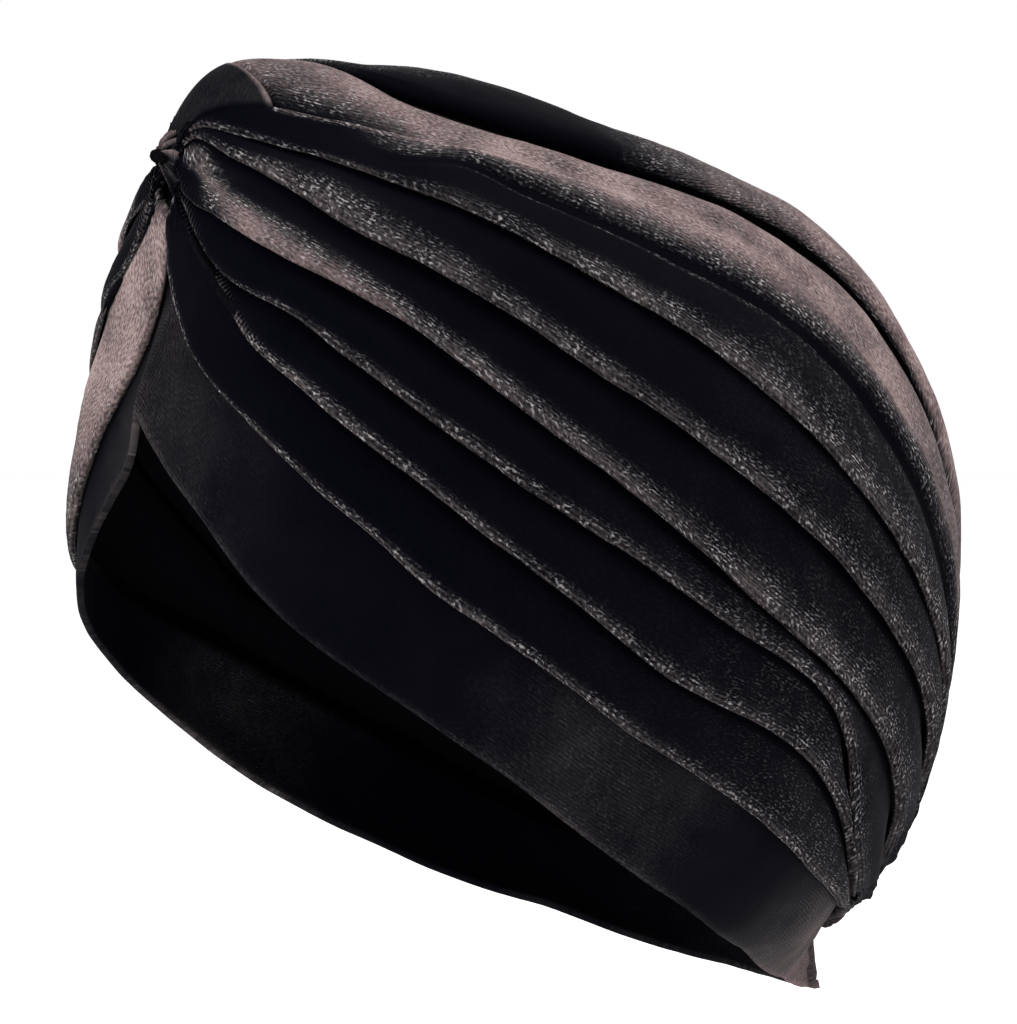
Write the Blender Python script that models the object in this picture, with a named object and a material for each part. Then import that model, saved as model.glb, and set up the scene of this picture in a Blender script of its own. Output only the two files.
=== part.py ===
"""Pleated velvet turban cap, worn shape, built on one rounded shell.

The wearer faces -Y, the wearer's left is +X and +Z is up. The shell runs from a pole at
the front knot to a pole at the nape. A place on it is a station, in degrees from the
knot (0) to the nape (180), and a turn, in degrees round the section from its top (0)
over the wearer's left side to its underside (180). Folds run from knot to nape.
The origin is where the inside of the top fold sits on the crown of the head.
"""

import bpy
import numpy as np

# driving dimensions, in metres
KNOT_FORWARD = 0.0849
KNOT_HEIGHT = 0.0744
NAPE_BACK = 0.0887
NAPE_DROP = 0.0900
CROWN_RISE = 0.1005
HALF_WIDTH = 0.0836
UNDER_DEPTH = 0.0824
BROW_THRUST = 0.0090
BROW_BREADTH = 0.0130
CLOTH_WALL = 0.0016
WRAP_WALL = 0.0020
BAND_WALL = 0.0018
KNOT_WALL = 0.0012
FOLD_LIFT = 0.0032
FOLD_ROUNDING = 0.0003
FOLD_RISER = 0.0004
BAND_INSET = 0.0026
RIM_INSET = 0.0010
PEAK_FLARE = 0.0060
NAPE_TAIL = 0.0220
KNOT_BULGE = 0.0022
SEAM_GAP = 0.0003
KNOT_GAP = 0.0007

# brow bump over the forehead, in shares of CROWN_RISE above the line between the poles
BROW_FOOT = -0.08
BROW_PEAK = 0.24
BROW_CREST = 0.50
BROW_FADE = 0.35

# stations of the shell's parts, in degrees
SLIT_TOP = 2.5
SLIT_FOOT = 19.0
SLIT_FADE = 40.0
WRAP_END = 16.5
WRAP_STEP = 0.2
WRAP_SWEEP = 3.0
TOP_FOLD_START = 21.0
NAPE_END = 176.5
SEAT_STATION = 62.0
FRONT_GATHER = (12, 45)
NAPE_GATHER = (145, 172)

# turns, in degrees from the top of a section: corner of the front wrap, and where the deep
# creases beside the top fold give way to those of the sides
WRAP_CORNER = 66
TOP_CREASES = (50, 80)

# powers of the rounded sections: 2 is an ellipse, more is squarer
UPPER_POWER = 2.0
UNDER_POWER = 3.17

# shares of CROWN_RISE, HALF_WIDTH and UNDER_DEPTH at each station
SECTIONS = {
    "station": (0, 30, 60, 90, 120, 150, 180),
    "rise": (1.00, 0.88, 0.85, 0.985, 1.00, 0.91, 0.82),
    "width": (0.59, 0.81, 0.92, 1.00, 0.96, 0.82, 0.62),
    "under": (0.09, 0.45, 0.98, 1.00, 0.88, 0.69, 0.49),
}

# turn of each fold's lower edge at these stations, one row per fold from the top down
FOLD_STATIONS = (6, 13, 20, 28, 36, 45, 55, 70, 90, 115, 145, 160, 172)
# name, share of FOLD_LIFT, station where it has risen, turns
FOLDS = (
    ("top", 1.90, 30, (0, 0, 0, 16, 35, 41, 39, 34, 35, 36, 33, 29, 24)),
    ("shelf", 0.60, 0, (30, 42, 47, 52, 54, 51, 47, 43, 49, 51, 47, 43, 38)),
    ("roll", 1.40, 46, (36, 49, 56, 61, 63, 57, 56, 55, 56, 58, 54, 51, 48)),
    ("brow", 0.80, 0, (45, 60, 66, 68, 69, 68, 68, 68, 69, 67, 62, 60, 60)),
    ("temple", 1.10, 0, (55, 73, 79, 83, 85, 84, 83, 82, 80, 76, 70, 72, 75)),
    ("upper side", 1.00, 0, (135, 154, 134, 119, 107, 99, 96, 94, 92, 87, 82, 85, 95)),
    ("middle side", 0.95, 0, (150, 157, 156, 148, 127, 115, 108, 103, 98, 92, 90, 96, 115)),
    ("lower side", 0.95, 34, (154, 159, 159, 151, 143, 128, 118, 112, 109, 101, 97, 106, 140)),
    ("hem", 1.00, 0, (180, 180, 180, 180, 169, 144, 130, 122, 118, 114, 113, 122, 180)),
)

# folds that the front wrap covers at their front ends
COVERED_FOLDS = ("shelf", "roll", "brow")

# head band from the peak at the front to the nape: stations of its top edge and its rim,
# turn of the rim, and shares of PEAK_FLARE and NAPE_TAIL
BAND = {
    "top_station": (31, 33, 37, 43, 52, 64, 78, 92, 106, 120, 134, 146, 157, 166, 172),
    "rim_station": (43, 45, 48, 53, 60, 70, 80, 92, 106, 120, 134, 147, 159, 170, 180),
    "rim_turn": (180, 177, 171, 158, 147, 138, 134, 132, 132, 134, 140, 149, 160, 171, 180),
    "flare": (1.00, 0.75, 0.35, 0.05, 0, 0, 0, 0, 0, 0, 0, 0, 0, 0, 0),
    "tail": (0, 0, 0, 0, 0, 0, 0, 0, 0, 0, 0, 0.20, 0.45, 0.75, 1.00),
}

PANEL_ROWS = (SLIT_TOP, 6, 10, 13.5, WRAP_END - WRAP_STEP, WRAP_END + WRAP_STEP, 20, 24, 28.5,
              33, 38, 44, 51, 59, 68, 78, 90, 103, 116, 130, 143, 155, 164, 170.5, NAPE_END)
PLEAT_SHARES = (0.0, 0.3, 0.62, 0.9, 1.0)
ROLL_SHARES = (-1.0, -0.93, -0.8, -0.55, -0.28, 0.0, 0.28, 0.55, 0.8, 0.93, 1.0)
KNOT_SHARES = (0.12, 0.4, 0.7, 0.9, 1.0)
KNOT_PLEATS = 10
BAND_ROWS = 21
BAND_SHARES = (0.0, 0.33, 0.67, 1.0)

# curves: powers of the slit, of a pleat's section, of the roll's section and of the tail,
# share of the roll's height that its edges lose, share of a pleat's depth under the wrap,
# height of the knot's pleats as a share of KNOT_BULGE, forward lean of the tail
SLIT_CURVE = 5
PLEAT_CURVE = 1.6
ROLL_CURVE = 4
TAIL_CURVE = 1.3
ROLL_DROP = 0.8
SUNK_PLEATS = 0.3
KNOT_PLEAT_RISE = 0.15
TAIL_LEAN = 0.25
SHARP_DEGREES = 40

BLACK_VELVET = (0.012, 0.011, 0.014)


def follow(at, stations, values):
    """Smooth curve through the values given at the stations."""
    x = np.asarray(stations, float)
    y = np.asarray(values, float)
    at = np.clip(np.asarray(at, float), x[0], x[-1])
    step = np.diff(x)
    slope = np.diff(y) / step
    tangent = np.empty_like(y)
    tangent[1:-1] = (slope[1:] * step[:-1] + slope[:-1] * step[1:]) / (x[2:] - x[:-2])
    tangent[0] = slope[0]
    tangent[-1] = slope[-1]
    k = np.clip(np.searchsorted(x, at, side="right") - 1, 0, len(x) - 2)
    t = (at - x[k]) / step[k]
    return ((1 + 2 * t) * (1 - t) ** 2 * y[k] + t * (1 - t) ** 2 * step[k] * tangent[k]
            + t * t * (3 - 2 * t) * y[k + 1] + t * t * (t - 1) * step[k] * tangent[k + 1])


def ease(value, low, high):
    """0 below low, 1 above high, smooth between."""
    t = np.clip((np.asarray(value, float) - low) / (high - low), 0, 1)
    return t * t * (3 - 2 * t)


def axis_frame():
    """Knot pole, nape pole direction, upward direction and length, in the YZ plane."""
    knot = np.array([-KNOT_FORWARD, KNOT_HEIGHT])
    run = np.array([NAPE_BACK, -NAPE_DROP]) - knot
    length = np.hypot(*run)
    along = run / length
    return knot, along, np.array([-along[1], along[0]]), length


def brow(height, side, along):
    """Forward thrust of the shell over the forehead, above the knot."""
    share = height / CROWN_RISE
    rising = ease(share, BROW_FOOT, BROW_PEAK)
    falling = 1 - ease(share, BROW_PEAK, BROW_CREST)
    near_front = np.exp(-(side / BROW_BREADTH) ** 2 - (along / (BROW_FADE * CROWN_RISE)) ** 2)
    return BROW_THRUST * rising * falling * near_front


def shell(station, turn):
    """Points of the outer shell, x to the wearer's left for turns from 0 to 180."""
    station, turn = np.broadcast_arrays(np.asarray(station, float), np.asarray(turn, float))
    knot, forward, upward, length = axis_frame()
    angle = np.radians(station)
    sine = np.sin(np.radians(turn))
    cosine = np.cos(np.radians(turn))
    power = np.where(cosine > 0, UPPER_POWER, UNDER_POWER)
    reach = (np.abs(sine) ** power + np.abs(cosine) ** power) ** (-1 / power)
    rise = CROWN_RISE * follow(station, SECTIONS["station"], SECTIONS["rise"])
    under = UNDER_DEPTH * follow(station, SECTIONS["station"], SECTIONS["under"])
    width = HALF_WIDTH * follow(station, SECTIONS["station"], SECTIONS["width"])
    height = np.where(cosine > 0, rise, under) * np.sin(angle) * reach * cosine
    side = width * np.sin(angle) * reach * sine
    along = length / 2 * (1 - np.cos(angle))
    along = along - brow(height, side, along)
    y = knot[0] + along * forward[0] + height * upward[0]
    z = knot[1] + along * forward[1] + height * upward[1]
    return np.stack([side, y, z], -1)


def outward(station, turn):
    """Unit normals of the shell, pointing out."""
    small = 0.4
    across = shell(station, turn + small) - shell(station, turn - small)
    lengthwise = shell(station + small, turn) - shell(station - small, turn)
    normal = np.cross(across, lengthwise)
    return normal / np.linalg.norm(normal, axis=-1, keepdims=True)


def lifted(station, turn, lift):
    """Shell points moved out along the normal by lift, in metres."""
    return shell(station, turn) + outward(station, turn) * np.asarray(lift)[..., None]


def slide(station, turn, distance):
    """Turn that lies a distance in metres further round the section."""
    small = 0.5
    ahead = shell(station, turn + small) - shell(station, turn - small)
    return turn + distance * 2 * small / np.linalg.norm(ahead, axis=-1)


def slit_shift(turn):
    """Stations by which the front slit starts later, as it runs down from its top."""
    return (SLIT_FOOT - SLIT_TOP) * (np.abs(turn) / 180) ** SLIT_CURVE


def warped(row, turn):
    """Station of a row at a turn: rows follow the slit, and then the end of the front wrap."""
    fade = np.clip((SLIT_FADE - row) / (SLIT_FADE - SLIT_TOP), 0, 1)
    rising = (row - SLIT_TOP) / (WRAP_END - SLIT_TOP)
    falling = (SLIT_FADE - row) / (SLIT_FADE - WRAP_END)
    swept = np.clip(np.minimum(rising, falling), 0, 1)
    return row + slit_shift(turn) * fade + WRAP_SWEEP * ease(np.abs(turn), 0, WRAP_CORNER) * swept


def fold_turn(name, station):
    """Turn of a fold's lower edge."""
    row = next(fold for fold in FOLDS if fold[0] == name)
    return np.clip(follow(station, FOLD_STATIONS, row[3]), 0, 180)


def fold_at_row(name, row):
    """Turn of a fold's edge on a warped row, and the station there."""
    turn = fold_turn(name, row)
    for _ in range(6):
        turn = fold_turn(name, warped(row, turn))
    return turn, warped(row, turn)


def drawn_in(station):
    """Share of the folds' height that is left where they are gathered at the knot and nape."""
    return 0.5 + 0.5 * ease(station, *FRONT_GATHER) * (1 - ease(station, *NAPE_GATHER))


def fold_lift(name, station):
    """Height of a fold's edge over the pleat below it."""
    row = next(fold for fold in FOLDS if fold[0] == name)
    risen = ease(station, row[2] - 5, row[2] + 5) if row[2] else 1.0
    return FOLD_LIFT * row[1] * risen * drawn_in(station)


def inner_lift(station, turn):
    """Depth of the inner side of the cloth, under the deepest crease."""
    over_top = 1 - ease(np.abs(turn), *TOP_CREASES)
    top_share = FOLDS[0][1]
    side_share = max(fold[1] for fold in FOLDS[3:])
    deepest = FOLD_LIFT * (side_share + (top_share - side_share) * over_top)
    return -(CLOTH_WALL + deepest * drawn_in(station))


def stitched(outer, inner):
    """Closed mesh data from two matching grids, joined round their four edges."""
    rows, columns = outer.shape[:2]
    count = rows * columns
    points = np.concatenate([outer.reshape(-1, 3), inner.reshape(-1, 3)])
    index = np.arange(count).reshape(rows, columns)
    faces = []
    for i in range(rows - 1):
        for j in range(columns - 1):
            corners = (index[i, j], index[i, j + 1], index[i + 1, j + 1], index[i + 1, j])
            faces.append(corners)
            faces.append(tuple(corner + count for corner in reversed(corners)))
    edge = np.concatenate([index[0], index[1:, -1], index[-1, -2::-1], index[-2:0:-1, 0]])
    for a, b in zip(edge, np.roll(edge, -1)):
        faces.append((b, a, a + count, b + count))
    return points, faces


def looped(rings):
    """Closed mesh data from rings of points that form a closed loop of sections."""
    count, size = rings.shape[:2]
    faces = []
    for i in range(count):
        for j in range(size):
            k = (j + 1) % size
            n = (i + 1) % count
            faces.append((i * size + j, i * size + k, n * size + k, n * size + j))
    return rings.reshape(-1, 3), faces


def mirrored(points):
    """The same points on the wearer's other side."""
    return points * np.array([-1.0, 1.0, 1.0])


def seat_point():
    """Inside of the top fold where it sits on the head."""
    station = np.array(SEAT_STATION)
    turn = np.array(0.0)
    return lifted(station, turn, inner_lift(station, turn))


def add_object(name, points, faces, flip=False):
    """One closed velvet piece, triangulated, with its own material."""
    mesh = bpy.data.meshes.new(name)
    faces = [tuple(int(v) for v in (face[::-1] if flip else face)) for face in faces]
    mesh.from_pydata((points - seat_point()).tolist(), [], faces)
    mesh.validate()
    mesh.shade_smooth()
    mesh.set_sharp_from_angle(angle=np.radians(SHARP_DEGREES))
    piece = bpy.data.objects.new(name, mesh)
    bpy.context.scene.collection.objects.link(piece)
    material = bpy.data.materials.new(name + "_velvet")
    material.use_nodes = True
    shader = material.node_tree.nodes["Principled BSDF"]
    shader.inputs["Base Color"].default_value = (*BLACK_VELVET, 1)
    shader.inputs["Roughness"].default_value = 0.85
    shader.inputs["Metallic"].default_value = 0.0
    mesh.materials.append(material)
    return piece


def pleat_columns(rows):
    """Turn, station and lift of the pleated panel, a row per station and a column per share."""
    names = [fold[0] for fold in FOLDS]
    turns = []
    stations = []
    lifts = []
    for upper, lower in zip(names[:-1], names[1:]):
        top_turn, _ = fold_at_row(upper, rows)
        low_turn, _ = fold_at_row(lower, rows)
        top_turn = slide(warped(rows, top_turn), top_turn, FOLD_RISER)
        for share in PLEAT_SHARES:
            turn = top_turn + (low_turn - top_turn) * share
            station = warped(rows, turn)
            depth = fold_lift(upper, station) * (1 - share) ** PLEAT_CURVE
            if share == 1.0:
                depth = depth + FOLD_ROUNDING
            if lower in COVERED_FOLDS:
                under_wrap = station < warped(WRAP_END, turn)
                depth = np.where(under_wrap, SUNK_PLEATS * depth + WRAP_WALL + SEAM_GAP, depth)
            turns.append(turn)
            stations.append(station)
            lifts.append(-depth)
    return np.array(turns).T, np.array(stations).T, np.array(lifts).T


def panel_grid():
    """Outer and inner grid of the wearer's left crown panel, from the top fold to the hem."""
    turn, station, lift = pleat_columns(np.array(PANEL_ROWS, float))
    turn[:, 0] = slide(station[:, 0], turn[:, 0], SEAM_GAP / 2)
    turn[:, -1] = slide(station[:, -1], turn[:, -1], -SEAM_GAP)
    turn = np.clip(turn, 0, 180)
    off_centre = np.array([SEAM_GAP / 2, 0, 0])
    outer = lifted(station, turn, lift) + off_centre
    inner = lifted(station, turn, inner_lift(station, turn)) + off_centre
    return outer, inner


def make_crown_panels():
    """Two pleated side panels that meet on the centre line."""
    outer, inner = panel_grid()
    points, faces = stitched(outer, inner)
    add_object("crown_left", points, faces)
    add_object("crown_right", mirrored(points), faces, flip=True)


def make_top_fold():
    """One soft roll along the centre line, over the upper edges of both panels."""
    later = [row for row in PANEL_ROWS if row > TOP_FOLD_START + 1]
    rows = np.array([TOP_FOLD_START] + later, float)
    edge, _ = fold_at_row("top", rows)
    shares = np.array(ROLL_SHARES)
    edge = slide(warped(rows, edge), edge, -SEAM_GAP)
    turn = edge[:, None] * shares[None, :]
    station = warped(rows[:, None] + 0 * turn, turn)
    kept = 1 - (1 - (1 - ROLL_DROP) ** 2) * np.abs(shares) ** ROLL_CURVE
    roll = fold_lift("top", station) * (1 - np.sqrt(kept))
    outer = lifted(station, turn, -roll)
    inner = lifted(station, turn, inner_lift(station, turn))
    add_object("top_fold", *stitched(outer, inner))


def make_front_wrap():
    """Smooth facet over the forehead, from the knot up to the top of the cap."""
    rows = np.array([*PANEL_ROWS[:4], WRAP_END - 2 * WRAP_STEP])
    edge, _ = fold_at_row("brow", rows)
    edge = slide(warped(rows, edge), edge, -FOLD_RISER)
    shares = np.linspace(-1, 1, 17)
    turn = edge[:, None] * shares[None, :]
    station = warped(rows[:, None] + 0 * turn, turn)
    outer = lifted(station, turn, 0 * turn)
    inner = lifted(station, turn, 0 * turn - WRAP_WALL)
    add_object("front_wrap", *stitched(outer, inner))


def make_knot():
    """Small gathered knot that fills the front slit."""
    half = pleat_columns(np.array([SLIT_TOP]))[0][0]
    half = half[half > fold_turn("brow", SLIT_TOP) - 1]
    half = np.concatenate([[0, 12, 24, 36], half[:-1], [179.5]])
    turn = np.concatenate([half, [180], -half[:0:-1]])
    rim = SLIT_TOP + slit_shift(turn)
    gap = KNOT_GAP / np.linalg.norm(shell(rim + 0.5, turn) - shell(rim - 0.5, turn), axis=-1)
    rim = rim - gap
    shares = np.array(KNOT_SHARES)
    station = rim[None, :] * shares[:, None]
    turns = np.broadcast_to(turn, station.shape)
    bulge = KNOT_BULGE * (1 - shares[:, None] ** 2)
    pleat = KNOT_PLEAT_RISE * KNOT_BULGE * np.cos(np.radians(turns) * KNOT_PLEATS)
    pleat = pleat * shares[:, None]
    outer = lifted(station, turns, bulge + pleat)
    inner = lifted(station, turns, 0 * turns - KNOT_WALL)
    rings = np.concatenate([outer, inner[::-1]])
    size = turn.size
    faces = []
    for i in range(len(rings) - 1):
        for j in range(size):
            k = (j + 1) % size
            faces.append((i * size + j, i * size + k, (i + 1) * size + k, (i + 1) * size + j))
    points = rings.reshape(-1, 3)
    front = len(points)
    back = front + 1
    points = np.concatenate([points, [rings[0].mean(0)], [rings[-1].mean(0)]])
    last = (len(rings) - 1) * size
    for j in range(size):
        k = (j + 1) % size
        faces.append((front, k, j))
        faces.append((back, last + j, last + k))
    add_object("knot", points, faces)


def band_sections():
    """Rings of the head band for the wearer's left half, peak first and nape last."""
    t = np.linspace(0, 1, BAND_ROWS)
    spread = np.linspace(0, 1, len(BAND["top_station"]))
    top_station = follow(t, spread, BAND["top_station"])
    rim_station = follow(t, spread, BAND["rim_station"])
    rim_turn = follow(t, spread, BAND["rim_turn"])
    flare = PEAK_FLARE * follow(t, spread, BAND["flare"])
    tail = NAPE_TAIL * np.clip(follow(t, spread, BAND["tail"]), 0, 1)
    top_turn = fold_turn("hem", top_station)
    top_turn = slide(top_station, top_turn, SEAM_GAP)
    top_turn[[0, -1]] = 180
    rim_turn[[0, -1]] = 180
    top_turn = np.minimum(top_turn, 180)
    rim_turn = np.minimum(rim_turn, 180)
    share = np.array(BAND_SHARES)[None, :]
    station = top_station[:, None] + (rim_station - top_station)[:, None] * share
    turn = top_turn[:, None] + (rim_turn - top_turn)[:, None] * share
    inset = BAND_INSET + (RIM_INSET - BAND_INSET) * share
    proud = flare[:, None] * share - inset
    tail_way = np.array([0, -TAIL_LEAN, -np.sqrt(1 - TAIL_LEAN ** 2)])
    hang = tail_way * (tail[:, None] * share ** TAIL_CURVE)[..., None]
    outer = lifted(station, turn, proud) + hang
    inner = lifted(station, turn, proud - BAND_WALL) + hang
    outer[[0, -1], :, 0] = 0
    inner[[0, -1], :, 0] = 0
    return np.concatenate([outer, inner[:, ::-1]], axis=1)


def make_head_band():
    """Smooth band round the head, sewn edge to edge under the hem folds."""
    left = band_sections()
    right = mirrored(left[-2:0:-1])
    add_object("head_band", *looped(np.concatenate([left, right])))


for leftover in list(bpy.data.objects):
    bpy.data.objects.remove(leftover, do_unlink=True)

make_head_band()
make_crown_panels()
make_top_fold()
make_front_wrap()
make_knot()
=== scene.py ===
"""Looks of the black velvet turban cap, worn shape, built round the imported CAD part.

The wearer faces -Y, the wearer's left is +X, +Z is up, in metres. A place on the cap is a
station, in degrees from the front knot (0) to the nape (180), and a turn, in degrees round
the section from its top (0) down the wearer's left side to the underside (180).
"""

import bmesh
import bpy
import numpy as np
from mathutils import Matrix


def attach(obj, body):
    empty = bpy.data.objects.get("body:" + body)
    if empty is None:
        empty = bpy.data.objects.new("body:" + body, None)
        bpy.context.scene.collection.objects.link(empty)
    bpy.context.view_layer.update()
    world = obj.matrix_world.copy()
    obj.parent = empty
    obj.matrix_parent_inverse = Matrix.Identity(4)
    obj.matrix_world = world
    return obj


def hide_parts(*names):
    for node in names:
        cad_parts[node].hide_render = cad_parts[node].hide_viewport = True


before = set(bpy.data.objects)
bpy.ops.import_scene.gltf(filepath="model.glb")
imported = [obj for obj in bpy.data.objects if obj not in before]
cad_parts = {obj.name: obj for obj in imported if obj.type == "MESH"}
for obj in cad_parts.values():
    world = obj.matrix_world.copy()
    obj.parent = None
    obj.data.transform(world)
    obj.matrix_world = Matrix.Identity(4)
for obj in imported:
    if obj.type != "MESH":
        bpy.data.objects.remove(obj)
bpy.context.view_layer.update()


# Crown panels. One length of stretch velvet on each side, laid in knife pleats that start at
# the front knot, fan out over the head and are gathered again at the nape. The pleats'
# folded edges face down, and the pile's tone along them carries painted sheen, painted
# highlights and painted shade.

KNOT_FORWARD = 0.0849
KNOT_HEIGHT = 0.0744
NAPE_BACK = 0.0887
NAPE_DROP = 0.0900
CROWN_RISE = 0.1005
HALF_WIDTH = 0.0836
UNDER_DEPTH = 0.0824
BROW_THRUST = 0.0090
BROW_BREADTH = 0.0130
BROW_FOOT = -0.08
BROW_PEAK = 0.24
BROW_CREST = 0.50
BROW_FADE = 0.35
UPPER_POWER = 2.0
UNDER_POWER = 3.17
SECTIONS = {
    "station": (0, 30, 60, 90, 120, 150, 180),
    "rise": (1.00, 0.88, 0.85, 0.985, 1.00, 0.91, 0.82),
    "width": (0.59, 0.81, 0.92, 1.00, 0.96, 0.82, 0.62),
    "under": (0.09, 0.45, 0.98, 1.00, 0.88, 0.69, 0.49),
}

SLIT_TOP = 2.5
SLIT_FOOT = 19.0
SLIT_FADE = 40.0
SLIT_CURVE = 5
WRAP_END = 16.5
WRAP_SWEEP = 3.0
WRAP_CORNER = 66
TOP_FOLD_START = 21.0
FRONT_GATHER = (12, 45)
NAPE_GATHER = (145, 172)
SEAT_STATION = 62.0
SEAT_DEPTH = 0.00768

FOLD_LIFT = 0.0032
PLEAT_CURVE = 1.6
PLEAT_TUCK = 0.0040
CLOTH_WALL = 0.0007
PANEL_END = 178.8
NAPE_PINCH = (172.0, 178.8)
NAPE_DIMPLE = 0.0050

# each fold: its share of FOLD_LIFT, the station where it has risen (0 if it is raised from its
# start), the rounding of its edge in mm (0 for a soft valley), and the turn of its lower edge at
# FOLD_STATIONS; the two right folds stand for the last two left ones on the wearer's right
FOLD_STATIONS = (6, 13, 20, 28, 36, 45, 55, 70, 90, 115, 130, 145, 160, 172)
FOLDS = {
    "top": {"lift": 1.45, "start": 30, "rounding": 3.2,
            "turns": (0, 0, 0, 12, 29, 35, 34, 30, 32, 34, 34, 32, 29, 24)},
    "shelf": {"lift": 0.45, "start": 48, "rounding": 0.0,
              "turns": (30, 42, 47, 52, 54, 51, 47, 43, 49, 51, 50, 47, 43, 38)},
    "roll": {"lift": 0.95, "start": 46, "rounding": 0.0,
             "turns": (36, 49, 56, 61, 63, 57, 56, 55, 56, 58, 57, 54, 51, 48)},
    "brow": {"lift": 0.70, "start": 0, "rounding": 1.1,
             "turns": (45, 60, 66, 68, 69, 68, 68, 68, 69, 67, 64, 62, 60, 60)},
    "temple": {"lift": 1.00, "start": 0, "rounding": 1.3,
               "turns": (55, 73, 79, 83, 85, 84, 83, 82, 80, 76, 72, 68, 72, 75)},
    "upper side": {"lift": 1.00, "start": 0, "rounding": 1.4,
                   "turns": (135, 154, 134, 119, 107, 99, 96, 94, 92, 87, 85, 84, 87, 97)},
    "middle side": {"lift": 0.95, "start": 0, "rounding": 1.3,
                    "turns": (150, 157, 156, 148, 127, 115, 108, 103, 98, 92, 101, 106, 112, 128)},
    "lower side": {"lift": 0.95, "start": 34, "rounding": 1.3,
                   "turns": (154, 159, 159, 151, 143, 128, 118, 112, 109, 101, 103, 109, 118, 145)},
    "hem": {"lift": 1.00, "start": 0, "rounding": 1.3,
            "turns": (180, 180, 180, 180, 169, 144, 130, 122, 118, 114, 115, 117, 126, 180)},
    "right lower side": {"lift": 0.55, "start": 34, "rounding": 1.3,
                         "turns": (160, 171, 165, 152, 138, 125, 118, 112, 109, 101, 103, 109, 118,
                                   145)},
    "right hem": {"lift": 1.00, "start": 0, "rounding": 1.3,
                  "turns": (180, 180, 180, 178, 170, 154, 142, 128, 118, 114, 115, 117, 126, 180)},
}
LEFT_FOLDS = ("top", "shelf", "roll", "brow", "temple", "upper side", "middle side",
              "lower side", "hem")
RIGHT_FOLDS = LEFT_FOLDS[:-2] + ("right lower side", "right hem")
RISE_LENGTH = 5
LEAST_LIFT = 0.5
COVERED_FOLD = "shelf"
SHELF_SINK = 0.0011
SHELF_SINK_END = (34, 46)
FLAT_BROAD = 0.0020
END_ROLL = 0.0024
END_ROLL_DEPTH = 0.8
# the most that a fold's roll, its thickness and its tuck take of the pleat or step they lie in
BROAD_SHARE = 0.3
THICK_SHARE = 0.46
TUCK_SHARE = 0.4
TUCK_CLEARANCE = 0.0002
FLAT_STEPS = 8.5
FLAT_END = 0.91
PLEAT_SHARES = (0.0, 0.05, 0.12, 0.21, 0.31, 0.42, 0.53, 0.64, 0.74, 0.83, 0.90, 0.96, 1.0)
FOLD_ANGLES = (22, 45, 67, 90, 120, 150, 180)
UNDER_WRAP_REACH = 0.3
UNDER_WRAP_LIFT = 0.3
UNDER_WRAP_SINK = 0.0024
# station up to which a fold's edge is drawn together in short gathers across it
DRAWN_END = {"brow": 9, "temple": 9, "upper side": 15, "middle side": 23, "lower side": 39}
DRAWN_BEFORE = 5
DRAWN_AFTER = 3
DRAWN_REACH = (0.0016, 0.0040)
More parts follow.
